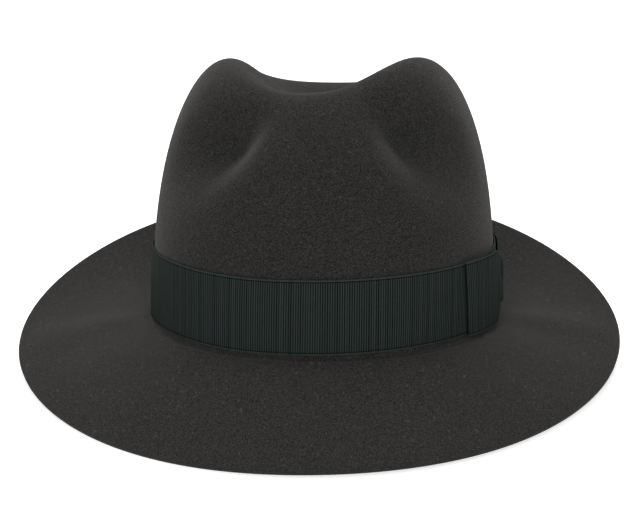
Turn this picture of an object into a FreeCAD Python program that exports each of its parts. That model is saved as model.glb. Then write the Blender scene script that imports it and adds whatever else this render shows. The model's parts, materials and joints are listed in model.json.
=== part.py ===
import FreeCAD, Part
import math
import os

# A fur felt fedora: crown with a long centre dent and two front pinches, a wide
# brim that snaps down in front and curls up behind, a ribbon band with a flat
# side bow, a leather sweatband on a reed, and a satin lining.
#
# Hat frame: +X is the wearer's left, -Y the front, +Z up. The origin is the
# centre of the head opening at the foot of the ribbon band. An angle round the
# hat starts at the front and grows towards +X.

SIZES = [
    ("crown_half_width", 85.2),
    ("crown_half_length", 104.6),
    ("crown_rise", 147.0),
    ("crown_tilt", 0.07),
    ("crown_sway", 1.6),
    ("felt_thick", 1.8),
    ("brim_width", 66.0),
    ("brim_side_extra", 1.2),
    ("brim_offset", 2.4),
    ("brim_mean_drop", 8.6),
    ("brim_swing", 36.9),
    ("brim_side_dip", 4.7),
    ("brim_quarter_dip", 0.9),
    ("brim_twist", 0.8),
    ("break_depth", 2.6),
    ("break_radius", 2.6),
    ("dent_depth", 47.0),
    ("dent_half_width", 39.0),
    ("dent_flare", 0.2),
    ("dent_front", 66.0),
    ("dent_rear", 69.0),
    ("dent_skew", 8.0),
    ("pinch_depth", 15.0),
    ("pinch_height", 95.0),
    ("pinch_place", 45.0),
    ("pinch_inner_width", 13.0),
    ("pinch_outer_width", 19.0),
    ("pinch_length", 21.0),
    ("snap_line", 3.0),
    ("snap_gap", 0.8),
    ("ribbon_width", 35.0),
    ("ribbon_thick", 0.7),
    ("ribbon_foot", 1.2),
    ("fit_gap", 0.35),
    ("lining_gap", 0.8),
    ("bow_wing_length", 45.0),
    ("bow_wing_thick", 2.0),
    ("bow_knot_width", 13.0),
    ("bow_knot_thick", 4.0),
    ("bow_centre", -10.0),
    ("sweat_width", 48.0),
    ("sweat_thick", 1.1),
    ("sweat_foot", 3.0),
    ("reed_radius", 1.3),
    ("lining_thick", 0.4),
    ("lining_foot", 14.0),
    ("lining_top", 78.0),
    ("lining_dome", 6.0),
    ("piping_radius", 1.2),
    ("shield_half_width", 30.0),
    ("shield_half_length", 42.0),
    ("shield_thick", 0.4),
    ("ticket_width", 16.0),
    ("ticket_height", 16.0),
    ("stitch_length", 3.2),
    ("stitch_radius", 0.35),
    ("stitch_count", 72.0),
]

doc = FreeCAD.newDocument("fedora")
sheet = doc.addObject("Spreadsheet::Sheet", "Sizes")
for row, (alias, value) in enumerate(SIZES, start=1):
    sheet.set("A%d" % row, alias)
    sheet.set("B%d" % row, str(value))
    sheet.setAlias("B%d" % row, alias)
doc.recompute()


def size(alias):
    return float(sheet.get(alias))


COLUMNS = 48          # poles round the hat
ROUND = 2.0 * math.pi


# ---------------------------------------------------------------- the form

def head_oval(angle, power):
    """Point on a unit superellipse; power 2 is an ellipse."""
    across, along = math.sin(angle), -math.cos(angle)
    norm = (abs(across) ** power + abs(along) ** power) ** (1.0 / power)
    return across / norm, along / norm


def dent_fall(x, y):
    """How far the centre dent lowers the crown at x, y."""
    reach = size("dent_front") if y < 0 else size("dent_rear")
    along = math.exp(-(abs(y) / reach) ** 3)
    wide = size("dent_half_width") * (1.0 + size("dent_flare") * y / size("crown_half_length"))
    centre = size("dent_skew") * min(y, 0.0) / size("crown_half_length")
    return size("dent_depth") * along * math.exp(-(abs(x - centre) / wide) ** 2.4)


def pinch_push(x, y, z):
    """How far a front pinch pushes the crown wall in at x, y, z."""
    line = size("pinch_place") + 0.62 * (size("pinch_height") - z)
    aside = abs(x) - line
    wide = size("pinch_outer_width") if aside > 0 else size("pinch_inner_width")
    across = math.exp(-(aside / wide) ** 2)
    upward = math.exp(-((z - size("pinch_height")) / size("pinch_length")) ** 2)
    front = 1.0 / (1.0 + math.exp((y + 0.4 * size("crown_half_length")) / 6.0))
    return size("pinch_depth") * across * upward * front


def crown_point(angle, climb):
    """Crown surface; climb 0 is the foot of the band and 1 the crown's centre."""
    theta = climb * math.pi / 2.0
    radius = math.cos(theta) ** (2.0 / 3.0) if climb < 1.0 else 0.0
    height = size("crown_rise") * math.sin(theta) ** (2.0 / 2.4)
    across, along = head_oval(angle, 2.05 + 0.6 * climb)
    x = size("crown_half_width") * radius * across
    y = size("crown_half_length") * radius * along
    lean = math.sin(theta) ** 3
    z = height * (1.0 - size("crown_tilt") * lean * y / size("crown_half_length"))
    push = pinch_push(x, y, z)
    reach = math.hypot(x, y)
    if reach > 1e-6:
        x, y = x * (1.0 - push / reach), y * (1.0 - push / reach)
    sway = size("crown_sway") * height / size("crown_rise")
    return FreeCAD.Vector(x + sway, y, z - dent_fall(x, y))


def edge_height(angle):
    """Height of the brim's edge over the foot of the band."""
    swing = -size("brim_swing") * math.cos(angle)
    dip = size("brim_side_dip") * math.cos(2.0 * angle)
    quarter = size("brim_quarter_dip") * math.cos(3.0 * angle)
    return swing - size("brim_mean_drop") + dip - quarter + size("brim_twist") * math.sin(2.0 * angle)


def brim_point(angle, out):
    """Brim surface; out 0 is the foot of the band and 1 the brim's edge."""
    across, along = head_oval(angle, 2.05)
    x = size("crown_half_width") * across
    y = size("crown_half_length") * along
    normal = FreeCAD.Vector(across / size("crown_half_width"), along / size("crown_half_length"), 0)
    normal.normalize()
    aside = math.sin(angle)
    width = size("brim_width") - size("brim_offset") * aside + size("brim_side_extra") * aside ** 2
    edge = edge_height(angle)
    flat = math.sqrt(width ** 2 - edge ** 2)
    turn = size("break_radius")
    if out < 0.12:
        swept = out / 0.12 * math.pi / 2.0
        step = turn * (1.0 - math.cos(swept))
        z = -size("break_depth") * math.sin(swept)
        return FreeCAD.Vector(x, y, z) + normal * step
    span = (out - 0.12) / 0.88
    step = turn + (flat - turn) * span
    curl = span ** (1.12 + 0.38 / (1.0 + math.exp(-edge / 8.0)))
    z = -size("break_depth") + (edge + size("break_depth")) * curl
    return FreeCAD.Vector(x, y, z) + normal * step


def hat_point(angle, way):
    """The whole felt: way -1 is the brim's edge, 0 the foot of the band, 1 the top."""
    return crown_point(angle, way) if way >= 0.0 else brim_point(angle, -way)


def hat_normal(angle, way):
    """Outward normal of the felt's outer surface."""
    if way > 0.995:
        return FreeCAD.Vector(0, 0, 1)
    step = 1e-3
    low = max(way - step, -1.0)
    round_hat = hat_point(angle + step, way) - hat_point(angle - step, way)
    up_hat = hat_point(angle, way + step) - hat_point(angle, low)
    normal = round_hat.cross(up_hat)
    normal.normalize()
    return normal


def offset_point(angle, way, offset):
    return hat_point(angle, way) + hat_normal(angle, way) * offset


def way_at_height(height):
    """The way value at which the plain crown wall reaches a height."""
    ratio = min(height / size("crown_rise"), 1.0)
    return math.asin(ratio ** 1.2) * 2.0 / math.pi


# ------------------------------------------------------------ solid builders

def surface(grid, closed):
    """Cubic B-spline surface over a grid of poles, row by row."""
    rows, columns = len(grid), len(grid[0])
    face = Part.BSplineSurface()
    row_knots = list(range(rows - 2))
    row_mults = [4] + [1] * (rows - 4) + [4]
    if closed:
        face.buildFromPolesMultsKnots(grid, row_mults, [1] * (columns + 1), row_knots,
                                      list(range(columns + 1)), False, True, 3, 3)
    else:
        face.buildFromPolesMultsKnots(grid, row_mults, [4] + [1] * (columns - 4) + [4],
                                      row_knots, list(range(columns - 2)), False, False, 3, 3)
    return face


def rim(outer, inner, along_row, at):
    """Ruled strip between the same border of two surfaces."""
    borders = []
    for skin in (outer, inner):
        curve = skin.uIso(at) if along_row else skin.vIso(at)
        borders.append(curve.toShape())
    return Part.makeRuledSurface(borders[0], borders[1])


def solid_between(outer_grid, inner_grid, closed, tipped=False):
    """Solid between two pole grids; tipped means that the last row is one point."""
    outer = surface(outer_grid, closed)
    inner = surface(inner_grid, closed)
    faces = [outer.toShape(), inner.toShape()]
    first, last, left, right = outer.bounds()
    faces.append(rim(outer, inner, True, first))
    if not tipped:
        faces.append(rim(outer, inner, True, last))
    if not closed:
        faces.append(rim(outer, inner, False, left))
        faces.append(rim(outer, inner, False, right))
    shell = Part.makeShell(faces)
    shell.sewShape()
    solid = Part.makeSolid(shell)
    if solid.Volume < 0:
        solid.reverse()
    return solid


def spread(low, high, count):
    return [low + (high - low) * step / (count - 1) for step in range(count)]


def around():
    return [ROUND * step / COLUMNS for step in range(COLUMNS)]


def ring(low_way, high_way, inner_offset, outer_offset, rows=8):
    """A closed band that follows the crown between two heights."""
    ways = spread(low_way, high_way, rows)
    outer = [[offset_point(a, w, outer_offset) for a in around()] for w in ways]
    inner = [[offset_point(a, w, inner_offset) for a in around()] for w in ways]
    return solid_between(outer, inner, True)


def panel(angles, low_ways, high_ways, inner_offsets, outer_offsets, rows=5):
    """A strip over part of the crown, with its own heights and offsets per column."""
    grids = []
    for offsets in (outer_offsets, inner_offsets):
        grid = []
        for step in range(rows):
            share = step / (rows - 1)
            line = []
            for angle, low, high, offset in zip(angles, low_ways, high_ways, offsets):
                line.append(offset_point(angle, low + (high - low) * share, offset))
            grid.append(line)
        grids.append(grid)
    return solid_between(grids[0], grids[1], False)


def tube(way, offset, radius):
    """A round cord that runs once round the inside of the crown."""
    points = [offset_point(a, way, offset) for a in around()]
    grid = []
    for turn in spread(0.0, ROUND, 13)[:-1]:
        line = []
        for index, point in enumerate(points):
            ahead = points[(index + 1) % COLUMNS] - points[index - 1]
            side = ahead.cross(FreeCAD.Vector(0, 0, 1))
            side.normalize()
            lift = FreeCAD.Vector(0, 0, 1) * math.sin(turn)
            line.append(point + (side * math.cos(turn) + lift) * radius)
        grid.append(line)
    face = Part.BSplineSurface()
    turns = len(grid)
    face.buildFromPolesMultsKnots(grid, [1] * (turns + 1), [1] * (COLUMNS + 1),
                                  list(range(turns + 1)), list(range(COLUMNS + 1)),
                                  True, True, 3, 3)
    solid = Part.makeSolid(Part.makeShell([face.toShape()]))
    if solid.Volume < 0:
        solid.reverse()
    return solid


# ------------------------------------------------------------------ the felt

def felt_ways():
    brim = spread(-1.0, -0.12, 10)
    turn = spread(-0.1, 0.0, 6)
    foot = [way_at_height(height) for height in (1.0, 2.5, 5.0, 9.0, 14.0)]
    wall = spread(0.06, 0.96, 22)
    return brim + turn + foot + wall + [0.985, 1.0]


def felt_solid():
    outer = [[hat_point(a, w) for a in around()] for w in felt_ways()]
    inner = [[offset_point(a, w, -size("felt_thick")) for a in around()] for w in felt_ways()]
    return solid_between(outer, inner, True, tipped=True)


def snap_plane():
    """Where the front brim folds: just ahead of the crown's foot."""
    return -(size("crown_half_length") + size("snap_line"))


# ----------------------------------------------------- ribbon, bow and lining

def ribbon_ways():
    low = way_at_height(size("ribbon_foot"))
    return low, way_at_height(size("ribbon_foot") + size("ribbon_width"))


def side_angle(place):
    """Angle of a point on the +X side at a distance behind the widest line."""
    return math.acos(-place / (size("crown_half_length")))


def band_outside():
    return size("fit_gap") + size("ribbon_thick")


def wing(front_place, rear_place, knot_at_rear):
    """A flat folded loop of the bow, drawn together at the knot."""
    low, high = ribbon_ways()
    columns = 8
    angles, lows, highs, inner, outer = [], [], [], [], []
    base = band_outside() + size("fit_gap")
    for step, place in enumerate(spread(front_place, rear_place, columns)):
        share = step / (columns - 1)
        pull = share if knot_at_rear else 1.0 - share
        angles.append(side_angle(place))
        lows.append(low + (high - low) * 0.2 * pull ** 2)
        highs.append(high - (high - low) * 0.08 * pull ** 2)
        inner.append(base)
        outer.append(base + size("bow_wing_thick") * (0.8 + 0.6 * pull))
    return panel(angles, lows, highs, inner, outer)


def knot():
    """The ribbon wrapped over the middle of the bow."""
    low, high = ribbon_ways()
    half = size("bow_knot_width") / 2.0
    base = band_outside() + size("fit_gap")
    columns = 7
    angles, lows, highs, inner, outer = [], [], [], [], []
    for step, place in enumerate(spread(size("bow_centre") - half, size("bow_centre") + half, columns)):
        share = 2.0 * step / (columns - 1) - 1.0
        angles.append(side_angle(place))
        lows.append(low + (high - low) * 0.1)
        highs.append(high - (high - low) * 0.02)
        inner.append(base)
        outer.append(base + size("bow_knot_thick") * (0.7 + 0.3 * math.cos(share * math.pi / 2.0)))
    return panel(angles, lows, highs, inner, outer)


def lining_offset():
    return -(size("felt_thick") + size("lining_gap"))


def sweat_offset():
    return lining_offset() - size("lining_thick") - size("fit_gap")


def piping_offset():
    return lining_offset() - size("piping_radius")


def tip_grid(lift):
    """Poles of the lining's oval top, domed up under the crown's dent."""
    way = way_at_height(size("lining_top"))
    edge = piping_offset() - size("piping_radius") - 2.0 * size("fit_gap")
    centre_z = size("lining_top") + size("lining_dome")
    grid = []
    for share in spread(1.0, 0.0, 9):
        line = []
        for angle in around():
            border = offset_point(angle, way, edge)
            z = border.z * share ** 2 + centre_z * (1.0 - share ** 2)
            line.append(FreeCAD.Vector(border.x * share, border.y * share, z + lift))
        grid.append(line)
    return grid


def rear_angles(width, columns, centre=0.0):
    """Angles across a small piece on the inside of the back."""
    radius = size("crown_half_width") ** 2 / size("crown_half_length")
    half = width / 2.0 / radius
    return [math.pi + centre / radius + step for step in spread(-half, half, columns)]


def rear_piece(width, low_height, high_height, near, far, centre=0.0):
    angles = rear_angles(width, 6, centre)
    count = len(angles)
    return panel(angles, [way_at_height(low_height)] * count, [way_at_height(high_height)] * count,
                 [far] * count, [near] * count)


def sweat_inside():
    return sweat_offset() - size("sweat_thick")


def ticket():
    """A blank paper ticket tucked over the sweatband's top edge at the back."""
    top = size("sweat_foot") + size("sweat_width")
    near = sweat_inside() - 2.0 * size("fit_gap")
    return rear_piece(size("ticket_width"), top - 0.6 * size("ticket_height"),
                      top + 0.4 * size("ticket_height"), near, near - 0.4, 30.0)


def inner_bow():
    """Two flat loops and a knot that close the sweatband at the back."""
    middle = size("sweat_foot") + 7.0
    near = sweat_inside() - 2.0 * size("fit_gap")
    pieces = [rear_piece(9.0, middle - 3.0, middle + 3.0, near, near - 1.2, -8.2)]
    pieces.append(rear_piece(9.0, middle - 3.0, middle + 3.0, near, near - 1.2, 8.2))
    pieces.append(rear_piece(5.0, middle - 2.2, middle + 2.2, near, near - 2.2))
    return Part.makeCompound(pieces)


def stitches():
    """A row of stitches round the sweatband, over the reed."""
    way = way_at_height(size("sweat_foot") + 2.5)
    offset = sweat_inside() - size("stitch_radius") - size("fit_gap")
    count = int(size("stitch_count"))
    dashes = []
    for index in range(count):
        angle = ROUND * (index + 0.5) / count
        if abs(angle - math.pi) < 0.25:
            continue
        point = offset_point(angle, way, offset)
        ahead = offset_point(angle + 0.01, way, offset) - offset_point(angle - 0.01, way, offset)
        ahead.normalize()
        start = point - ahead * (size("stitch_length") / 2.0)
        dashes.append(Part.makeCylinder(size("stitch_radius"), size("stitch_length"), start, ahead))
    return Part.makeCompound(dashes)


def tack_row(place, heights):
    """Short thread tacks on the ribbon's outside."""
    base = band_outside() + size("stitch_radius") + 0.1
    dashes = []
    for height in heights:
        angle = side_angle(place)
        start = offset_point(angle, way_at_height(height), base)
        dashes.append(Part.makeCylinder(size("stitch_radius"), 1.8, start, FreeCAD.Vector(0, 0, 1)))
    return Part.makeCompound(dashes)


# ------------------------------------------------------- how the hat is set down

def rest_pitch(points):
    """Pitch that sets the front edge and the rear break on one level."""
    low, high = 0.0, math.radians(25.0)
    for _ in range(40):
        pitch = (low + high) / 2.0
        heights = [(p.y, p.z * math.cos(pitch) - p.y * math.sin(pitch)) for p in points]
        front = min(height for y, height in heights if y < 0)
        rear = min(height for y, height in heights if y >= 0)
        if front < rear:
            low = pitch
        else:
            high = pitch
    return (low + high) / 2.0


def add(label, shape, placement):
    item = doc.addObject("Part::Feature", label)
    item.Label = label
    item.Shape = shape
    item.Placement = placement
    return item


# ------------------------------------------------------------------- assembly

UNDERSIDE = [offset_point(a, w, -size("felt_thick")) for a in around() for w in felt_ways() if w < 0.1]
PITCH = rest_pitch(UNDERSIDE)
TILT = FreeCAD.Rotation(FreeCAD.Vector(1, 0, 0), -math.degrees(PITCH))
REST = FreeCAD.Placement(FreeCAD.Vector(0, 0, 0), TILT)

low, high = ribbon_ways()
sweat_low = way_at_height(size("sweat_foot"))
sweat_high = way_at_height(size("sweat_foot") + size("sweat_width"))
lining_low = way_at_height(size("lining_foot"))
lining_high = way_at_height(size("lining_top") - size("piping_radius") - size("fit_gap"))
half_knot = size("bow_knot_width") / 2.0 + size("fit_gap")
front_end = size("bow_centre") - half_knot
rear_end = size("bow_centre") + half_knot
wing_length = size("bow_wing_length")

# The felt is one moulded skin. It is cut along the snap line, so that the front
# brim can turn against the rest.
felt = doc.addObject("Part::Feature", "felt_skin")
felt.Shape = felt_solid()
ahead = doc.addObject("Part::Box", "ahead_of_snap_line")
behind = doc.addObject("Part::Box", "not_behind_snap_line")
for block, shift in ((ahead, "-"), (behind, "+")):
    block.setExpression("Length", "Sizes.crown_half_width * 4 + Sizes.brim_width * 4")
    block.setExpression("Width", "Sizes.brim_width * 4")
    block.setExpression("Height", "Sizes.crown_rise * 4")
    plane = "-Sizes.crown_half_length - Sizes.snap_line %s Sizes.snap_gap / 2" % shift
    block.setExpression("Placement.Base.x", "-(Sizes.crown_half_width + Sizes.brim_width) * 2")
    block.setExpression("Placement.Base.y", plane + " - Sizes.brim_width * 4")
    block.setExpression("Placement.Base.z", "-Sizes.crown_rise * 2")
felt_body = doc.addObject("Part::Cut", "felt_body")
felt_body.Base = felt
felt_body.Tool = behind
front_brim = doc.addObject("Part::Common", "felt_front_brim")
front_brim.Base = felt
front_brim.Tool = ahead

# The clear sheet under the lining's top is a flat oval plate.
oval = doc.addObject("Part::Ellipse", "shield_oval")
oval.setExpression("MajorRadius", "Sizes.shield_half_length")
oval.setExpression("MinorRadius", "Sizes.shield_half_width")
oval.setExpression("Placement.Base.z", "Sizes.lining_top + Sizes.lining_dome * 0.2")
oval.setExpression("Placement.Rotation.Angle", "90")
shield = doc.addObject("Part::Extrusion", "crown_shield")
shield.Base = oval
shield.Dir = FreeCAD.Vector(0, 0, 1)
shield.Solid = True
shield.setExpression("LengthFwd", "Sizes.shield_thick")
doc.recompute()

nodes = [felt_body, front_brim, shield]
for item in nodes:
    item.Label = item.Name
    item.Placement = REST

skins = {
    "hat_band": ring(low, high, size("fit_gap"), band_outside()),
    "bow_front_wing": wing(front_end - wing_length, front_end, True),
    "bow_rear_wing": wing(rear_end, rear_end + wing_length, False),
    "bow_knot": knot(),
    "band_tacks": tack_row(rear_end + wing_length + 6.0, (5.0, 12.0, 19.0, 26.0, 33.0)),
    "sweatband": ring(sweat_low, sweat_high, sweat_inside(), sweat_offset()),
    "sweatband_reed": tube(way_at_height(0.9), sweat_offset() - size("reed_radius"), size("reed_radius")),
    "sweatband_stitches": stitches(),
    "sweatband_bow": inner_bow(),
    "size_ticket": ticket(),
    "lining_side": ring(lining_low, lining_high, lining_offset() - size("lining_thick"),
                        lining_offset(), 12),
    "lining_top": solid_between(tip_grid(size("lining_thick")), tip_grid(0.0), True, tipped=True),
    "lining_piping": tube(way_at_height(size("lining_top")), piping_offset(), size("piping_radius")),
}
for label, shape in skins.items():
    nodes.append(add(label, shape, REST))

# The hat is set down on its front edge and its rear break, over the origin.
doc.recompute()
whole = FreeCAD.BoundBox()
for item in nodes:
    whole.add(item.Shape.optimalBoundingBox(False))
LIFT = FreeCAD.Vector(-whole.Center.x, -whole.Center.y, -whole.ZMin)
for item in nodes:
    item.Placement = FreeCAD.Placement(LIFT, TILT)
doc.recompute()

for item in doc.Objects:
    if "Invalid" in item.State or "Error" in item.State:
        raise RuntimeError("failed object: " + item.Name)
os.makedirs("parts", exist_ok=True)
for item in nodes:
    if item.Shape.isNull() or not item.Shape.isValid():
        raise RuntimeError("bad shape: " + item.Label)
    item.Shape.exportStep("parts/" + item.Label + ".step")
    box = item.Shape.BoundBox
    print(item.Label, len(item.Shape.Solids), round(item.Shape.Volume), [round(v, 1) for v in (
        box.XMin, box.XMax, box.YMin, box.YMax, box.ZMin, box.ZMax)])
hinge = FreeCAD.Vector(0, snap_plane(), -size("break_depth") - size("felt_thick") / 2.0)
print("rest pitch", round(math.degrees(PITCH), 3), "opening centre", LIFT)
print("snap line", TILT.multVec(hinge) + LIFT)
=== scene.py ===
import json
import math

import bmesh
import bpy
import numpy as np
from bpy.props import FloatProperty, FloatVectorProperty, IntProperty, PointerProperty
from mathutils import Matrix, Vector


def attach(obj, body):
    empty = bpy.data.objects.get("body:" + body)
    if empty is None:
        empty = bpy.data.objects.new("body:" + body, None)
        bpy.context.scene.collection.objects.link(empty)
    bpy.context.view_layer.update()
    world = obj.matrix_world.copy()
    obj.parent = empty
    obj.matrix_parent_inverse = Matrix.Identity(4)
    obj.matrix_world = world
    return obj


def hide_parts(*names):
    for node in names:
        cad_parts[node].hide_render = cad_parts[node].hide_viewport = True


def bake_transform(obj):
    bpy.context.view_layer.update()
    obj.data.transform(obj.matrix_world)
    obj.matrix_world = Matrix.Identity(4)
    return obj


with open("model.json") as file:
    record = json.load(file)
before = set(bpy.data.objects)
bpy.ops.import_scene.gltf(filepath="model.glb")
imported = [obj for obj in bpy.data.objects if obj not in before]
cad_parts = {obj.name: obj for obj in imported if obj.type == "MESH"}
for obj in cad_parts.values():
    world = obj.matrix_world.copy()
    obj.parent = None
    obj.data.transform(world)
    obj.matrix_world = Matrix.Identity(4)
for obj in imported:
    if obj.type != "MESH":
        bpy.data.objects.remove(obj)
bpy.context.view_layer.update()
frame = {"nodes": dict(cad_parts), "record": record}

bl_info = {
    "name": "Felt Fedora",
    "version": (1, 0, 0),
    "blender": (4, 5, 0),
    "location": "View3D > Sidebar > Hat",
    "description": "Blocks, trims and lines a felt fedora round its packed frame",
    "category": "Add Mesh",
}

MM = 0.001
TURN = 2.0 * math.pi
HEAD_POWER = 2.05       # superellipse power of the head opening
TOP_POWER = 0.6         # what the crown's top adds to that power
RADIUS_POWER = 2.0 / 3.0
HEIGHT_POWER = 2.0 / 2.4
DENT_POWER = 2.4
PINCH_SLOPE = 0.62      # how far the pinches spread per height
BREAK_SHARE = 0.12      # share of the brim's way that is its turn
FRONT_CURL, EXTRA_CURL, CURL_EASE = 1.12, 0.38, 8.0 * MM
SHADES = {"size": 3, "min": 0.0, "max": 1.0, "subtype": "COLOR"}


def head_opening():
    """The mount at the centre of the head opening, and the hat's pitch on the table."""
    for mount in frame["record"]["mounts"]:
        if mount["name"] == "head_opening":
            axis = mount["axis"]
            return Vector(mount["pos_m"]), math.atan2(-axis[1], -axis[2])
    raise RuntimeError("the record has no head_opening mount")


def length(name, words, default):
    return FloatProperty(name=name, description=words, default=default, unit="LENGTH", precision=5)


def number(name, words, default):
    return FloatProperty(name=name, description=words, default=default, precision=4)


def shade(name, words, default):
    return FloatVectorProperty(name=name, description=words, default=default, **SHADES)


# ------------------------------------------------------------------ settings

class HatForm(bpy.types.PropertyGroup):
    """The block that the felt is pulled over, in the hat's own frame."""
    crown_half_width: length("Crown half width", "Widest line of the crown's foot", 85.2 * MM)
    crown_half_length: length("Crown half length", "Front to back of the crown's foot", 104.6 * MM)
    crown_rise: length("Crown rise", "Height of the crown before it is dented", 147.0 * MM)
    crown_tilt: number("Crown tilt", "How much higher the crown is in front", 0.07)
    crown_sway: length("Crown sway", "How far the crown's top leans to the wearer's left", 1.6 * MM)
    felt_thick: length("Felt thickness", "Thickness of the felt", 1.8 * MM)
    brim_width: length("Brim width", "Brim measured along the felt", 66.0 * MM)
    brim_side_extra: length("Brim side extra", "Extra width of the brim at the sides", 1.2 * MM)
    brim_offset: length("Brim offset", "How much wider the brim is on one side", 2.4 * MM)
    brim_mean_drop: length("Brim drop", "Mean drop of the brim's edge", 8.6 * MM)
    brim_swing: length("Brim swing", "Front drop and rear lift of the edge", 36.9 * MM)
    brim_side_dip: length("Brim side dip", "How far the sides dip", 4.7 * MM)
    brim_quarter_dip: length("Brim quarter dip", "How far the rear quarters dip", 0.9 * MM)
    brim_twist: length("Brim twist", "How much the brim's two sides differ", 0.8 * MM)
    brim_crest: length("Brim crest", "Height of the soft fold across each side of the brim", 1.8 * MM)
    break_depth: length("Break depth", "Depth of the turn from crown to brim", 2.6 * MM)
    break_radius: length("Break radius", "Radius of the turn from crown to brim", 2.6 * MM)
    dent_depth: length("Dent depth", "Depth of the long centre dent", 47.0 * MM)
    dent_half_width: length("Dent half width", "Half width of the dent", 39.0 * MM)
    dent_flare: number("Dent flare", "How much wider the dent is behind", 0.2)
    dent_front: length("Dent front reach", "Reach of the dent ahead", 66.0 * MM)
    dent_rear: length("Dent rear reach", "Reach of the dent behind", 69.0 * MM)
    dent_skew: length("Dent skew", "How far the dent's front end wanders", 8.0 * MM)
    pinch_depth: length("Pinch depth", "Depth of the front pinches", 15.0 * MM)
    pinch_height: length("Pinch height", "Height of the pinches", 95.0 * MM)
    pinch_place: length("Pinch place", "Distance of the pinches from the middle", 45.0 * MM)
    pinch_inner_width: length("Pinch inner width", "Slope on the pinch's inner side", 13.0 * MM)
    pinch_outer_width: length("Pinch outer width", "Slope on the pinch's outer side", 19.0 * MM)
    pinch_length: length("Pinch length", "Height over which a pinch fades", 21.0 * MM)
    columns: IntProperty(name="Columns", description="Faces round the hat", default=256)


class HatTrim(bpy.types.PropertyGroup):
    """Ribbon, bow, sweatband and lining."""
    ribbon_width: length("Ribbon width", "Width of the grosgrain ribbon", 35.0 * MM)
    ribbon_thick: length("Ribbon thickness", "Thickness of the ribbon", 0.6 * MM)
    ribbon_foot: length("Ribbon foot", "Height of the ribbon's lower edge", 1.2 * MM)
    ribbon_stand: length("Ribbon stand", "Outside of the ribbon over the felt", 1.05 * MM)
    rib_pitch: length("Rib pitch", "Distance between two ribs of the ribbon", 1.25 * MM)
    bow_centre: length("Bow centre", "Place of the bow behind the widest line", -10.0 * MM)
    wing_length: length("Wing length", "Length of each loop of the bow", 45.0 * MM)
    wing_stand: length("Wing stand", "Thickness of a folded loop", 1.8 * MM)
    knot_width: length("Knot width", "Width of the bow's middle", 13.0 * MM)
    knot_stand: length("Knot stand", "How far the bow's middle stands out", 2.9 * MM)
    sweat_foot: length("Sweatband foot", "Height of the sweatband's lower edge", 3.0 * MM)
    sweat_width: length("Sweatband width", "Width of the leather", 48.0 * MM)
    sweat_stand: length("Sweatband stand", "Back of the leather behind the felt's face", 3.35 * MM)
    sweat_thick: length("Sweatband thickness", "Thickness of the leather", 1.1 * MM)
    lining_stand: length("Lining stand", "Back of the lining behind the felt's face", 2.6 * MM)
    lining_foot: length("Lining foot", "Height of the lining's lower edge", 14.0 * MM)
    lining_top: length("Lining top", "Height of the lining's oval top", 78.0 * MM)
    lining_dome: length("Lining dome", "How far the oval top is domed", 6.0 * MM)
    gathers: IntProperty(name="Gathers", description="Folds round the lining's side", default=84)


class HatLooks(bpy.types.PropertyGroup):
    """Colours, as linear values."""
    felt: shade("Felt", "Charcoal felt", (0.0186, 0.0180, 0.0173))
    ribbon: shade("Ribbon", "Green-black ribbon", (0.0064, 0.0082, 0.0077))
    leather: shade("Leather", "Brown sweatband leather", (0.115, 0.052, 0.025))
    satin: shade("Satin", "Dark satin lining", (0.030, 0.029, 0.034))
    card: shade("Card", "Plain size ticket", (0.62, 0.58, 0.50))
    pale_thread: shade("Pale thread", "Stitches on the leather", (0.36, 0.28, 0.19))


# ------------------------------------------------------------------ the form

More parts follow.
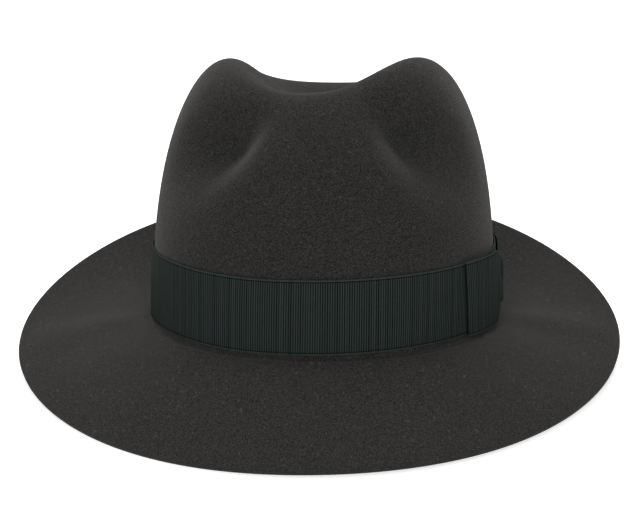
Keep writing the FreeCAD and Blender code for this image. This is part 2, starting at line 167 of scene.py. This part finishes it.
class Block:
    """The hat block: every piece is laid over it. Angles start at the front."""

    def __init__(self):
        form = bpy.context.scene.hat_form
        for name in HatForm.__annotations__:
            setattr(self, name, getattr(form, name))
        centre, pitch = head_opening()
        self.place = Matrix.Translation(centre) @ Matrix.Rotation(-pitch, 4, "X")

    def oval(self, angle, power):
        across, along = np.sin(angle), -np.cos(angle)
        norm = (np.abs(across) ** power + np.abs(along) ** power) ** (1.0 / power)
        return across / norm, along / norm

    def dent(self, x, y):
        reach = np.where(y < 0, self.dent_front, self.dent_rear)
        along = np.exp(-(np.abs(y) / reach) ** 3)
        wide = self.dent_half_width * (1.0 + self.dent_flare * y / self.crown_half_length)
        centre = self.dent_skew * np.minimum(y, 0.0) / self.crown_half_length
        return self.dent_depth * along * np.exp(-(np.abs(x - centre) / wide) ** DENT_POWER)

    def pinch(self, x, y, z):
        aside = np.abs(x) - self.pinch_place - PINCH_SLOPE * (self.pinch_height - z)
        wide = np.where(aside > 0, self.pinch_outer_width, self.pinch_inner_width)
        upward = np.exp(-((z - self.pinch_height) / self.pinch_length) ** 2)
        front = 1.0 / (1.0 + np.exp((y + 0.4 * self.crown_half_length) / 0.006))
        return self.pinch_depth * np.exp(-(aside / wide) ** 2) * upward * front

    def crown(self, angle, climb):
        """Crown surface; climb 0 is the foot of the band and 1 the crown's centre."""
        theta = np.clip(climb, 0.0, 1.0) * math.pi / 2.0
        radius = np.maximum(np.cos(theta), 0.0) ** RADIUS_POWER
        radius = np.where(climb > 0.9999, 0.0, radius)
        height = self.crown_rise * np.sin(theta) ** HEIGHT_POWER
        across, along = self.oval(angle, HEAD_POWER + TOP_POWER * climb)
        x = self.crown_half_width * radius * across
        y = self.crown_half_length * radius * along
        z = height * (1.0 - self.crown_tilt * np.sin(theta) ** 3 * y / self.crown_half_length)
        reach = np.maximum(np.hypot(x, y), 1e-6)
        inward = 1.0 - self.pinch(x, y, z) / reach
        x, y = x * inward, y * inward
        sway = self.crown_sway * height / self.crown_rise
        return np.stack([x + sway, y, z - self.dent(x, y)], axis=-1)

    def edge_height(self, angle):
        dip = self.brim_side_dip * np.cos(2.0 * angle) - self.brim_quarter_dip * np.cos(3.0 * angle)
        dip = dip + self.brim_twist * np.sin(2.0 * angle)
        return dip - self.brim_swing * np.cos(angle) - self.brim_mean_drop

    def brim(self, angle, out):
        """Brim surface; out 0 is the foot of the band and 1 the brim's edge."""
        across, along = self.oval(angle, HEAD_POWER)
        normal = np.stack([across / self.crown_half_width, along / self.crown_half_length], axis=-1)
        normal /= np.linalg.norm(normal, axis=-1, keepdims=True)
        aside = np.sin(angle)
        width = self.brim_width - self.brim_offset * aside + self.brim_side_extra * aside ** 2
        edge = self.edge_height(angle)
        flat = np.sqrt(width ** 2 - edge ** 2)
        turned = np.clip(out / BREAK_SHARE, 0.0, 1.0) * math.pi / 2.0
        span = np.clip((out - BREAK_SHARE) / (1.0 - BREAK_SHARE), 0.0, 1.0)
        curl = span ** (FRONT_CURL + EXTRA_CURL / (1.0 + np.exp(-edge / CURL_EASE)))
        step = self.break_radius * (1.0 - np.cos(turned)) + (flat - self.break_radius) * span
        z = -self.break_depth * np.sin(turned) + (edge + self.break_depth) * curl
        fold = np.exp(-((np.cos(angle) - 0.035 + 0.07 * aside) / 0.13) ** 2)
        z = z + self.brim_crest * fold * np.sin(span * math.pi) ** 0.8
        x = self.crown_half_width * across + normal[..., 0] * step
        y = self.crown_half_length * along + normal[..., 1] * step
        return np.stack([x, y, z], axis=-1)

    def surface(self, angle, way):
        """Way -1 is the brim's edge, 0 the foot of the band and 1 the crown's centre."""
        angle, way = np.broadcast_arrays(np.asarray(angle, float), np.asarray(way, float))
        on_crown = (way >= 0.0)[..., None]
        return np.where(on_crown, self.crown(angle, np.maximum(way, 0.0)),
                        self.brim(angle, np.maximum(-way, 0.0)))

    def raised(self, angle, way, offset):
        """A point at a distance outside the felt's face."""
        step = 1e-3
        low = np.maximum(way - step, -1.0)
        along = self.surface(angle + step, way) - self.surface(angle - step, way)
        upward = self.surface(angle, way + step) - self.surface(angle, low)
        normal = np.cross(along, upward)
        normal /= np.maximum(np.linalg.norm(normal, axis=-1, keepdims=True), 1e-12)
        return self.surface(angle, way) + normal * np.asarray(offset)[..., None]

    def way_at(self, height):
        ratio = np.clip(np.asarray(height, float) / self.crown_rise, 0.0, 1.0)
        return np.arcsin(ratio ** (1.0 / HEIGHT_POWER)) * 2.0 / math.pi

    def side_angle(self, place):
        """Angle of a point on the bow's side at a distance behind the widest line."""
        return np.arccos(-np.asarray(place, float) / self.crown_half_length)


# ------------------------------------------------------------- modelling tools

def deselect():
    if bpy.context.object and bpy.context.object.mode != "OBJECT":
        bpy.ops.object.mode_set(mode="OBJECT")
    bpy.ops.object.select_all(action="DESELECT")


def use_alone(piece):
    deselect()
    piece.select_set(True)
    bpy.context.view_layer.objects.active = piece


def lay_sheet(name, columns, rows, shape, length_m, width_m, closed=False):
    """A grid of cloth laid where shape(u, v) says; its UV map is in metres."""
    deselect()
    bpy.ops.mesh.primitive_grid_add(x_subdivisions=columns, y_subdivisions=rows, size=1.0,
                                    calc_uvs=True)
    piece = bpy.context.object
    piece.name = name
    piece.data.name = name
    mesh = piece.data
    flat = np.empty(len(mesh.vertices) * 3)
    mesh.vertices.foreach_get("co", flat)
    flat = flat.reshape(-1, 3) + 0.5
    place = np.array(block.place)
    points = shape(flat[:, 0], flat[:, 1]) @ place[:3, :3].T + place[:3, 3]
    mesh.vertices.foreach_set("co", points.ravel())
    marks = np.empty(len(mesh.loops) * 2)
    mesh.uv_layers.active.data.foreach_get("uv", marks)
    marks = marks.reshape(-1, 2) * np.array([length_m, width_m])
    mesh.uv_layers.active.data.foreach_set("uv", marks.ravel())
    if closed:
        work = bmesh.new()
        work.from_mesh(mesh)
        bmesh.ops.remove_doubles(work, verts=work.verts, dist=1e-6)
        work.to_mesh(mesh)
        work.free()
    mesh.update()
    bpy.ops.object.shade_smooth()
    return piece


def thicken(piece, thickness, edge_round=0.0):
    """Gives a sheet its thickness, inwards, and softens its cut edges."""
    use_alone(piece)
    wall = piece.modifiers.new("thickness", "SOLIDIFY")
    wall.thickness = thickness
    wall.offset = -1.0
    wall.use_even_offset = False
    wall.use_quality_normals = True
    bpy.ops.object.modifier_apply(modifier=wall.name)
    if edge_round:
        bevel = piece.modifiers.new("edge", "BEVEL")
        bevel.width = edge_round
        bevel.segments = 2
        bevel.limit_method = "ANGLE"
        bevel.angle_limit = math.radians(60.0)
        bpy.ops.object.modifier_apply(modifier=bevel.name)
    bpy.ops.object.shade_smooth_by_angle(angle=math.radians(50.0))
    return piece


def finish_piece(piece, material, body, slot, *nodes):
    piece.data.materials.clear()
    piece.data.materials.append(material)
    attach(piece, body)
    if nodes:
        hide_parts(*nodes)


def dress(node, material):
    """A new finish on a CAD node that keeps its shape."""
    part = frame["nodes"][node]
    part.data.materials.clear()
    part.data.materials.append(material)


# ------------------------------------------------------------------ materials

class Wire:
    """A socket that takes part in Python arithmetic."""

    def __init__(self, recipe, socket):
        self.recipe, self.socket = recipe, socket

    def maths(self, operation, first, second=0.0):
        return self.recipe.node("ShaderNodeMath", {"operation": operation}, {0: first, 1: second})

    def __add__(self, other):
        return self.maths("ADD", self, other)

    def __sub__(self, other):
        return self.maths("SUBTRACT", self, other)

    def __rsub__(self, other):
        return self.maths("SUBTRACT", other, self)

    def __mul__(self, other):
        return self.maths("MULTIPLY", self, other)

    def __gt__(self, other):
        return self.maths("GREATER_THAN", self, other)

    def __lt__(self, other):
        return self.maths("LESS_THAN", self, other)

    def wave(self):
        return self.maths("SINE", self)

    def size(self):
        return self.maths("ABSOLUTE", self)

    __radd__ = __add__
    __rmul__ = __mul__


class Recipe:
    """One material, built from its constant finish and its varying wires."""

    def __init__(self, name, **finish):
        self.material = bpy.data.materials.new(name)
        self.material.use_nodes = True
        self.tree = self.material.node_tree
        self.shader = self.tree.nodes["Principled BSDF"]
        for socket, value in finish.items():
            self.shader.inputs[socket.replace("_", " ")].default_value = value

    def node(self, kind, settings=None, inputs=None, output=0):
        made = self.tree.nodes.new(kind)
        for key, value in (settings or {}).items():
            setattr(made, key, value)
        for key, value in (inputs or {}).items():
            self.feed(made.inputs[key], value)
        return Wire(self, made.outputs[output])

    def feed(self, socket, value):
        if isinstance(value, Wire):
            self.tree.links.new(value.socket, socket)
        else:
            socket.default_value = value

    def set(self, socket, value):
        self.feed(self.shader.inputs[socket], value)
        return self

    def solid(self):
        return self.node("ShaderNodeTexCoord", output="Object")

    def along_and_across(self):
        """The UV map's two directions, in metres."""
        parts = self.node("ShaderNodeTexCoord", output="UV")
        split = self.node("ShaderNodeSeparateXYZ", inputs={0: parts})
        return split, Wire(self, split.socket.node.outputs[1])

    def grain(self, scale, detail=3.0, rough=0.6, stretch=None):
        coords = self.solid()
        if stretch:
            coords = self.node("ShaderNodeMapping", inputs={"Vector": coords, "Scale": stretch})
        return self.node("ShaderNodeTexNoise", inputs={
            "Vector": coords, "Scale": scale, "Detail": detail, "Roughness": rough})

    def blend(self, amount, low, high):
        return self.node("ShaderNodeMix", {"data_type": "RGBA", "clamp_factor": True},
                         {"Factor": amount, 6: tone(low), 7: tone(high)}, output=2)

    def bump(self, height, strength, distance, below=None):
        inputs = {"Height": height, "Strength": strength, "Distance": distance}
        if below:
            inputs["Normal"] = below
        return self.node("ShaderNodeBump", inputs=inputs)


def tone(colour, gain=1.0):
    """A colour as four numbers, brightened by gain; a wire passes through."""
    if isinstance(colour, Wire):
        return colour
    return tuple(min(channel * gain, 1.0) for channel in tuple(colour)[:3]) + (1.0,)


def felt_material():
    """Brushed fur felt: short fuzz, cloudy nap and a few pale fibres."""
    colour = bpy.context.scene.hat_looks.felt
    recipe = Recipe("brushed_felt", Roughness=0.92, Sheen_Weight=0.07, Sheen_Roughness=0.38,
                    Sheen_Tint=(0.92, 0.90, 0.86, 1.0), Specular_IOR_Level=0.03)
    fuzz = recipe.grain(2000.0, 2.0, 0.75)
    nap = recipe.grain(3000.0, 2.0, 0.7, (1.0, 1.0, 0.45))
    cloud = recipe.grain(38.0, 3.0, 0.55)
    clump = recipe.grain(620.0, 2.0, 0.65)
    mottle = fuzz * 0.58 + nap * 0.30 + clump * 0.10 + cloud * 0.02
    body = recipe.blend((mottle - 0.42) * 6.0, tone(colour, 0.34), tone(colour, 1.76))
    lint = recipe.grain(640.0, 1.0, 0.4, (1.0, 0.35, 1.3)) > 0.715
    recipe.set("Base Color", recipe.blend(lint * 0.35, body, tone(colour, 3.2)))
    soft = recipe.bump(cloud, 0.03, 0.0016)
    recipe.set("Normal", recipe.bump(fuzz * 0.7 + nap * 0.3, 0.55, 0.00055, soft))
    return recipe.material


def ribbon_material(name, gain=1.0):
    """Grosgrain: ribs across the ribbon, a flat woven selvedge and a faint sheen. The ribs are
    painted light and dark as painted shade and highlight, the flat selvedge is painted light as a
    painted highlight along both edges, and the groove beside it is painted shade.
    """
    scene = bpy.context.scene
    colour, trim = scene.hat_looks.ribbon, scene.hat_trim
    recipe = Recipe(name, Specular_IOR_Level=0.01)
    along, across = recipe.along_and_across()
    rib = (along * (TURN / trim.rib_pitch)).wave() * 0.5 + 0.5
    border = (across - trim.ribbon_width / 2.0).size()
    selvedge = border > trim.ribbon_width / 2.0 - 0.8 * MM
    # The groove beside the selvedge is bumped and is also painted darker in the colour: painted shade
    # in the groove.
    groove = (border - trim.ribbon_width / 2.0 + 1.05 * MM).size() < 0.28 * MM
    weft = recipe.grain(1800.0, 2.0, 0.6)
    uneven = recipe.node("ShaderNodeTexNoise", {"noise_dimensions": "1D"},
                         {"W": along * 420.0, "Scale": 1.0, "Detail": 2.0})
    # Painted light: the rib stripes in the colour stand for shade between the ribs and highlight on
    # their tops, and the selvedge's fixed 0.85 paints a highlight along both edges. The weft and the
    # uneven weave are the ribbon's own tone.
    open_rib = rib * (1.0 - selvedge) + selvedge * 0.85
    weave_tone_and_painted_light = open_rib * 0.80 + weft * 0.25 + uneven * 0.5 - groove * 0.45 - 0.27
    # A gain above 1 paints a lighter copy of the same ribbon, which is a painted highlight.
    recipe.set("Base Color", recipe.blend(weave_tone_and_painted_light, tone(colour, 0.12 * gain), tone(colour, 4.2 * gain)))
    recipe.set("Roughness", 0.80 - rib * 0.12 + weft * 0.06)
    recipe.set("Normal", recipe.bump(open_rib + weft * 0.25 - groove * 0.8, 0.18, 0.0003))
    return recipe.material


def leather_material():
    """Smooth sweatband leather with pores, creases and a rubbed border."""
    colour = bpy.context.scene.hat_looks.leather
    recipe = Recipe("sweatband_leather", Specular_IOR_Level=0.45, Coat_Roughness=0.35)
    cells = recipe.node("ShaderNodeTexVoronoi", {"feature": "DISTANCE_TO_EDGE"},
                        {"Vector": recipe.solid(), "Scale": 1150.0})
    pores = recipe.grain(2400.0, 2.0, 0.6)
    patina = recipe.grain(30.0, 3.0, 0.6)
    across = recipe.along_and_across()[1]
    rubbed = (across - 24.0 * MM).size() * 30.0
    recipe.set("Base Color", recipe.blend(patina * 0.9 + pores * 0.3 - rubbed * 0.55,
                                          tone(colour, 0.5), tone(colour, 1.6)))
    recipe.set("Roughness", patina * 0.25 + 0.36)
    recipe.set("Normal", recipe.bump(cells * 0.8 + pores * 0.2, 0.35, 0.00025))
    return recipe.material


def satin_material():
    """Satin: long smooth floats and a soft gloss."""
    colour = bpy.context.scene.hat_looks.satin
    recipe = Recipe("lining_satin", Specular_IOR_Level=0.62, Sheen_Weight=0.15, Sheen_Roughness=0.3)
    floats = recipe.grain(900.0, 2.0, 0.6, (1.0, 1.0, 0.12))
    cloud = recipe.grain(45.0, 2.0, 0.5)
    recipe.set("Base Color", recipe.blend(floats * 0.7 + cloud * 0.35,
                                          tone(colour, 0.6), tone(colour, 1.7)))
    recipe.set("Roughness", floats * 0.14 + 0.30)
    recipe.set("Normal", recipe.bump(floats, 0.22, 0.0002))
    return recipe.material


def thread_material(name, colour, twist=1500.0):
    """Twisted thread or cord."""
    recipe = Recipe(name, Specular_IOR_Level=0.25, Sheen_Weight=0.2)
    strand = recipe.grain(twist, 2.0, 0.6, (1.0, 1.0, 0.6))
    recipe.set("Base Color", recipe.blend(strand, tone(colour, 0.5), tone(colour, 1.5)))
    recipe.set("Roughness", strand * 0.2 + 0.6)
    recipe.set("Normal", recipe.bump(strand, 0.6, 0.0003))
    return recipe.material


def card_material():
    """Plain unprinted card."""
    recipe = Recipe("ticket_card", Specular_IOR_Level=0.2)
    fibres = recipe.grain(1300.0, 4.0, 0.7)
    colour = bpy.context.scene.hat_looks.card
    recipe.set("Base Color", recipe.blend(fibres, tone(colour, 0.85), tone(colour, 1.12)))
    recipe.set("Roughness", fibres * 0.15 + 0.75)
    recipe.set("Normal", recipe.bump(fibres, 0.2, 0.0001))
    return recipe.material


def clear_material():
    """Thin clear sheet with faint ripples."""
    recipe = Recipe("clear_sheet", Specular_IOR_Level=0.6, Base_Color=(0.8, 0.82, 0.82, 1.0))
    ripple = recipe.grain(60.0, 2.0, 0.5)
    recipe.set("Alpha", ripple * 0.06 + 0.08)
    recipe.set("Roughness", ripple * 0.12 + 0.06)
    recipe.set("Normal", recipe.bump(ripple, 0.15, 0.001))
    return recipe.material


# -------------------------------------------------------------------- pieces

def spread(low, high, count):
    return list(np.linspace(low, high, count))


def ring_sheet(name, low_height, high_height, rows, offset, ripple=None):
    """A strip laid all round the crown between two heights."""
    def shape(u, v):
        angle = u * TURN
        height = low_height + (high_height - low_height) * v
        stand = np.full_like(u, offset)
        if ripple:
            stand = stand + ripple(u, v)
        return block.raised(angle, block.way_at(height), stand)
    return lay_sheet(name, block.columns, rows, shape, 0.6, high_height - low_height, closed=True)


class HAT_OT_felt(bpy.types.Operator):
    """Blocks the felt: crown, dent, pinches and brim, in one skin"""
    bl_idname = "hat.felt"
    bl_label = "Felt"

    def execute(self, context):
        foot = [float(block.way_at(height)) for height in (1.0 * MM, 2.5 * MM, 5.0 * MM, 9.0 * MM)]
        ways = spread(-1.0, -0.13, 34) + spread(-0.12, 0.0, 9) + foot + spread(0.05, 0.97, 84)
        ways += [0.985, 1.0]
        rows = len(ways) - 1

        def shape(u, v):
            way = np.interp(v, np.linspace(0.0, 1.0, rows + 1), ways)
            angle = u * TURN
            points = block.surface(angle, way)
            wander = 0.35 * MM * np.sin(5.0 * angle + 1.3) * np.clip(-way, 0.0, 1.0) ** 2
            points[:, 2] += wander
            return points

        felt = lay_sheet("felt", block.columns, rows, shape, 0.6, 0.25, closed=True)
        thicken(felt, block.felt_thick, 0.35 * MM)
        felt.data.materials.append(felt_material())
        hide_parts("felt_body", "felt_front_brim")
        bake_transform(felt)
        return {"FINISHED"}


class HAT_OT_band(bpy.types.Operator):
    """Lays the ribbon band round the crown's foot"""
    bl_idname = "hat.band"
    bl_label = "Ribbon band"

    def execute(self, context):
        trim = context.scene.hat_trim
        top = trim.ribbon_foot + trim.ribbon_width

        def slack(u, v):
            return 0.12 * MM * np.sin(u * TURN * 7.0) * (2.0 * v - 1.0) ** 2

        band = ring_sheet("ribbon_band", trim.ribbon_foot, top, 14, trim.ribbon_stand, slack)
        thicken(band, trim.ribbon_thick, 0.12 * MM)
        finish_piece(band, ribbon_material("grosgrain"), "hat", "ribbon", "hat_band")
        dress("band_tacks", thread_material("dark_thread", (0.012, 0.016, 0.015)))
        return {"FINISHED"}


class HAT_OT_bow(bpy.types.Operator):
    """Folds the bow's two loops and wraps its middle"""
    bl_idname = "hat.bow"
    bl_label = "Side bow"

    def wing(self, name, side, node, material):
        """A loop that runs out from the knot, folds and comes back over itself."""
        trim = bpy.context.scene.hat_trim
        knot_end = trim.bow_centre + side * (trim.knot_width / 2.0 - 2.0 * MM)
        fullness = 1.0 if side < 0 else 0.3
        base = trim.ribbon_stand + 0.15 * MM + 0.6 * MM * fullness
        foot, top = trim.ribbon_foot - 0.6 * MM, trim.ribbon_foot + trim.ribbon_width + 0.6 * MM

        def shape(u, v):
            out = 1.0 - np.abs(2.0 * u - 1.0)
            reach = np.minimum(out / 0.96, 1.0)
            pull = np.clip(1.0 - reach / 0.34, 0.0, 1.0) ** 1.2
            fold = np.clip((out - 0.96) / 0.04, 0.0, 1.0)
            slant = (3.4 * v - 0.8) * MM * reach
            place = knot_end + side * (trim.wing_length * reach + slant + 0.5 * MM * fold)
            outer = np.clip((u - 0.5) * 14.0 + 0.5, 0.0, 1.0)
            puff = np.sin(reach ** 0.6 * math.pi) * 1.8 * MM
            stand = base + fullness * outer * (trim.wing_stand * (0.6 + 0.4 * pull) + puff)
            pleat = -np.cos(v * TURN + 0.4) * 0.9 * MM * pull * outer * fullness
            low = foot + 6.0 * MM * pull
            high = top - 10.0 * MM * pull - 1.2 * MM * (side > 0)
            height = low + (high - low) * v
            return block.raised(block.side_angle(place), block.way_at(height), stand + pleat)

        loop = lay_sheet(name, 72, 30, shape, 2.0 * trim.wing_length, trim.ribbon_width)
        thicken(loop, 0.5 * MM, 0.08 * MM)
        finish_piece(loop, material, "hat", "bow_ribbon", node)

    def knot(self, material):
        trim = bpy.context.scene.hat_trim
        half = trim.knot_width / 2.0
        foot, top = trim.ribbon_foot + 6.0 * MM, trim.ribbon_foot + trim.ribbon_width - 6.5 * MM

        def shape(u, v):
            over = np.sin(v * math.pi)
            waist = 1.0 - 0.30 * np.exp(-((v - 0.42) / 0.16) ** 2)
            place = trim.bow_centre + (u - 0.5) * 2.0 * half * waist
            rounded = np.sqrt(np.maximum(1.0 - (2.0 * u - 1.0) ** 2 * 0.82, 0.0))
            crest = 1.0 - 0.18 * np.exp(-((v - 0.45) / 0.16) ** 2)
            pleat = 0.45 * MM * np.cos(u * TURN * 2.5 + 1.2 * np.sin(v * 3.0))
            stand = trim.ribbon_stand + 1.0 * MM
            stand = stand + trim.knot_stand * rounded * crest * np.clip(over * 2.4, 0.0, 1.0) ** 0.5
            height = foot + (top - foot) * (0.5 - 0.5 * np.cos(v * math.pi))
            return block.raised(block.side_angle(place), block.way_at(height), stand + pleat * over)

        wrap = lay_sheet("bow_middle", 40, 48, shape, trim.ribbon_width, trim.ribbon_width)
        thicken(wrap, 0.5 * MM, 0.08 * MM)
        finish_piece(wrap, material, "hat", "bow_ribbon", "bow_knot")

    def execute(self, context):
        # The bow's copy of the ribbon is painted 5 % lighter than the band: a painted highlight on
        # the bow.
        material = ribbon_material("grosgrain_bow", 1.05)
        self.wing("bow_front_loop", -1.0, "bow_front_wing", material)
        self.wing("bow_rear_loop", 1.0, "bow_rear_wing", material)
        self.knot(material)
        return {"FINISHED"}


class HAT_OT_sweatband(bpy.types.Operator):
    """Sets in the leather sweatband, its reed, stitches, small bow and ticket"""
    bl_idname = "hat.sweatband"
    bl_label = "Sweatband"

    def execute(self, context):
        trim = context.scene.hat_trim
        looks = context.scene.hat_looks
        top = trim.sweat_foot + trim.sweat_width

        def ease(u, v):
            return -0.9 * MM * v ** 3 + 0.25 * MM * np.sin(u * TURN * 9.0) * v ** 2

        leather = ring_sheet("leather_sweatband", trim.sweat_foot, top, 16, -trim.sweat_stand, ease)
        thicken(leather, trim.sweat_thick, 0.25 * MM)
        finish_piece(leather, leather_material(), "hat", "sweat_leather", "sweatband")
        dress("sweatband_reed", thread_material("reed_cloth", (0.035, 0.026, 0.02), 900.0))
        dress("sweatband_stitches", thread_material("pale_thread", looks.pale_thread))
        dress("sweatband_bow", thread_material("small_ribbon", (0.05, 0.028, 0.02), 1100.0))
        dress("size_ticket", card_material())
        return {"FINISHED"}


class HAT_OT_lining(bpy.types.Operator):
    """Hangs the satin lining, its gathered side, oval top and clear sheet"""
    bl_idname = "hat.lining"
    bl_label = "Lining"

    def execute(self, context):
        trim = context.scene.hat_trim
        satin = satin_material()
        high = trim.lining_top - 1.3 * MM

        def gather(u, v):
            fold = np.abs(np.sin(u * math.pi * trim.gathers + 0.8 * np.sin(u * 19.0)))
            return -1.1 * MM * fold * (0.15 + 0.85 * v ** 2)

        side = ring_sheet("lining_side_wall", trim.lining_foot, high, 24, -trim.lining_stand, gather)
        thicken(side, 0.3 * MM)
        finish_piece(side, satin, "hat", "satin", "lining_side")

        edge = trim.lining_stand + 2.5 * MM
        centre = trim.lining_top + trim.lining_dome

        def oval_top(u, v):
            border = block.raised(u * TURN, block.way_at(np.full_like(u, trim.lining_top)),
                                  np.full_like(u, -edge))
            share = (1.0 - v)[:, None]
            points = border * share
            points[:, 2] = border[:, 2] * share[:, 0] ** 2 + centre * (1.0 - share[:, 0] ** 2)
            return points

        roof = lay_sheet("lining_oval_top", block.columns // 2, 20, oval_top, 0.5, 0.08, closed=True)
        thicken(roof, 0.3 * MM)
        finish_piece(roof, satin, "hat", "satin", "lining_top")
        dress("lining_piping", thread_material("piping_cord", (0.05, 0.048, 0.055), 500.0))
        dress("crown_shield", clear_material())
        return {"FINISHED"}


class HAT_OT_stage(bpy.types.Operator):
    """Sets the pale floor, the soft lights and the camera"""
    bl_idname = "hat.stage"
    bl_label = "Stage"

    def soft_light(self, name, place, aim, size, power, colour=(1.0, 1.0, 1.0)):
        lamp = bpy.data.lights.new(name, "AREA")
        lamp.shape = "RECTANGLE"
        lamp.size, lamp.size_y = size
        lamp.energy = power
        lamp.color = colour
        item = bpy.data.objects.new(name, lamp)
        bpy.context.scene.collection.objects.link(item)
        item.location = place
        item.rotation_euler = (Vector(aim) - Vector(place)).to_track_quat("-Z", "Y").to_euler()

    def camera(self):
        centre, pitch = head_opening()
        elevation, turn, distance = 0.2078, 0.0573, 1.2
        raised, aside = 0.0223, 0.0015
        frame_turn = Matrix.Rotation(-pitch, 4, "X") @ Matrix.Rotation(turn, 4, "Z")
        tilt = Matrix.Rotation(math.pi / 2.0 - elevation, 4, "X")
        pose = Matrix.Translation(centre) @ frame_turn @ tilt @ Matrix.Translation((0, 0, distance))
        lens = bpy.data.cameras.new("camera")
        lens.sensor_width = 36.0
        lens.lens = 134.08
        lens.clip_end = 50.0
        item = bpy.data.objects.new("camera", lens)
        bpy.context.scene.collection.objects.link(item)
        item.matrix_world = pose @ Matrix.Rotation(raised, 4, "X") @ Matrix.Rotation(aside, 4, "Y")
        bpy.context.scene.camera = item

    def floor(self):
        deselect()
        bpy.ops.mesh.primitive_plane_add(size=40.0, location=(0.0, 0.0, -0.0004))
        plane = bpy.context.object
        plane.name = "floor"
        recipe = Recipe("pale_floor", Roughness=0.9, Specular_IOR_Level=0.1,
                        Emission_Color=(1.0, 1.0, 1.0, 1.0), Emission_Strength=0.65)
        haze = recipe.grain(1.4, 2.0, 0.5)
        recipe.set("Base Color", recipe.blend(haze, (0.56, 0.56, 0.56), (0.60, 0.60, 0.60)))
        plane.data.materials.append(recipe.material)

    def execute(self, context):
        world = bpy.data.worlds.new("studio")
        world.use_nodes = True
        world.node_tree.nodes["Background"].inputs[0].default_value = (1.0, 1.0, 1.0, 1.0)
        world.node_tree.nodes["Background"].inputs[1].default_value = 0.28
        context.scene.world = world
        context.scene.view_settings.view_transform = "Standard"
        self.floor()
        aim = (0.0, 0.0, 0.07)
        self.soft_light("left_bank", (-1.1, 0.15, 0.75), aim, (0.9, 0.9), 5.5)
        self.soft_light("right_bank", (1.2, 0.1, 0.7), aim, (0.9, 0.9), 4.0)
        self.soft_light("top_bank", (0.0, 0.45, 1.5), aim, (1.2, 1.0), 29.0)
        self.soft_light("front_fill", (0.0, -1.7, 0.9), aim, (1.0, 0.7), 19.0)
        self.camera()
        return {"FINISHED"}


class HAT_PT_panel(bpy.types.Panel):
    """Lists the hat's pieces in the sidebar"""
    bl_idname = "HAT_PT_panel"
    bl_label = "Felt Fedora"
    bl_space_type = "VIEW_3D"
    bl_region_type = "UI"
    bl_category = "Hat"

    def draw(self, context):
        for step in STEPS:
            self.layout.operator(step.bl_idname)
        for group in (context.scene.hat_form, context.scene.hat_trim, context.scene.hat_looks):
            for name in type(group).__annotations__:
                self.layout.prop(group, name)


STEPS = (HAT_OT_stage, HAT_OT_felt, HAT_OT_band, HAT_OT_bow, HAT_OT_sweatband, HAT_OT_lining)
GROUPS = {"hat_form": HatForm, "hat_trim": HatTrim, "hat_looks": HatLooks}


def register():
    for group in GROUPS.values():
        bpy.utils.register_class(group)
    for name, group in GROUPS.items():
        setattr(bpy.types.Scene, name, PointerProperty(type=group))
    for step in STEPS + (HAT_PT_panel,):
        bpy.utils.register_class(step)


def unregister():
    for step in reversed(STEPS + (HAT_PT_panel,)):
        bpy.utils.unregister_class(step)
    for name in GROUPS:
        delattr(bpy.types.Scene, name)
    for group in reversed(list(GROUPS.values())):
        bpy.utils.unregister_class(group)


def main():
    global block
    register()
    block = Block()
    for step in STEPS:
        group, name = step.bl_idname.split(".")
        getattr(getattr(bpy.ops, group), name)()


if __name__ == "__main__":
    main()
